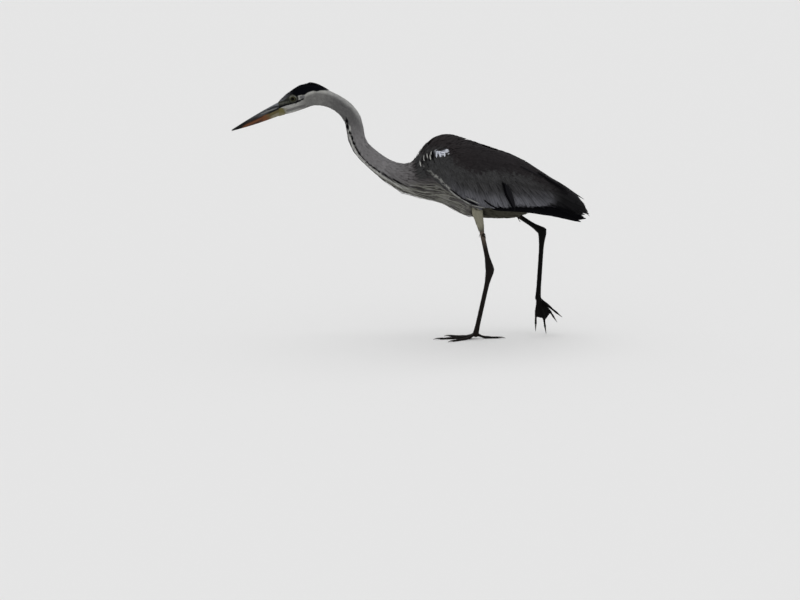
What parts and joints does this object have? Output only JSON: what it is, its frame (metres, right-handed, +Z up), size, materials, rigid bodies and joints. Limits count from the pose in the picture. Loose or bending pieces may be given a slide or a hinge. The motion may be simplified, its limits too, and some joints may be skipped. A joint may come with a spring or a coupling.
{
  "type": "grey heron figure",
  "caption": "Life-size grey heron wading, neck stretched forward in a low curve, standing on its left foot with the right heel lifted.",
  "frame": {"origin": "on the floor, under the middle of the bird's overall length and width", "axes": "-Y towards the bill's tip, +X towards the bird's left side, +Z up"},
  "size_m": [0.1468, 0.8195, 0.5933],
  "materials": {
    "grey": "soft matte mid-grey plumage, black-slate on the crown, whitish on cheek and throat, streaked down the foreneck",
    "pale": "soft matte plumage, slate on the back and pale grey-buff on breast, belly and thighs",
    "slate": "matte slate-grey wing and tail feathers with slightly paler edges",
    "black": "matte to satin black feathers",
    "bill_upper": "satin dark horn, bluish towards the nostril",
    "bill_lower": "satin dull orange horn, yellowish at the root and black at the tip",
    "eye": "clear wet gloss, pale yellow iris and black pupil",
    "leg_skin": "scaly bare skin, grey-brown on the shank and blackish-brown below the hock",
    "claw_horn": "satin black horn"
  },
  "bodies": {
    "root": {"head": "grey", "neck_upper": "grey", "neck_middle": "grey", "neck_lower": "grey", "trunk": "pale", "thigh_left": "pale", "thigh_right": "pale", "wing_left": "slate", "wing_right": "slate", "tail": "slate", "flight_feathers_left": "black", "flight_feathers_right": "black", "crest": "black", "bill_upper": "bill_upper", "bill_lower": "bill_lower", "eye_left": "eye", "eye_right": "eye", "shank_left": "leg_skin", "shank_right": "leg_skin", "tarsus_left": "leg_skin", "tarsus_right": "leg_skin", "foot_left": "leg_skin", "foot_right": "leg_skin", "claw_left_inner": "claw_horn", "claw_left_middle": "claw_horn", "claw_left_outer": "claw_horn", "claw_left_hind": "claw_horn", "claw_right_inner": "claw_horn", "claw_right_middle": "claw_horn", "claw_right_outer": "claw_horn", "claw_right_hind": "claw_horn"}
  },
  "joints": []
}
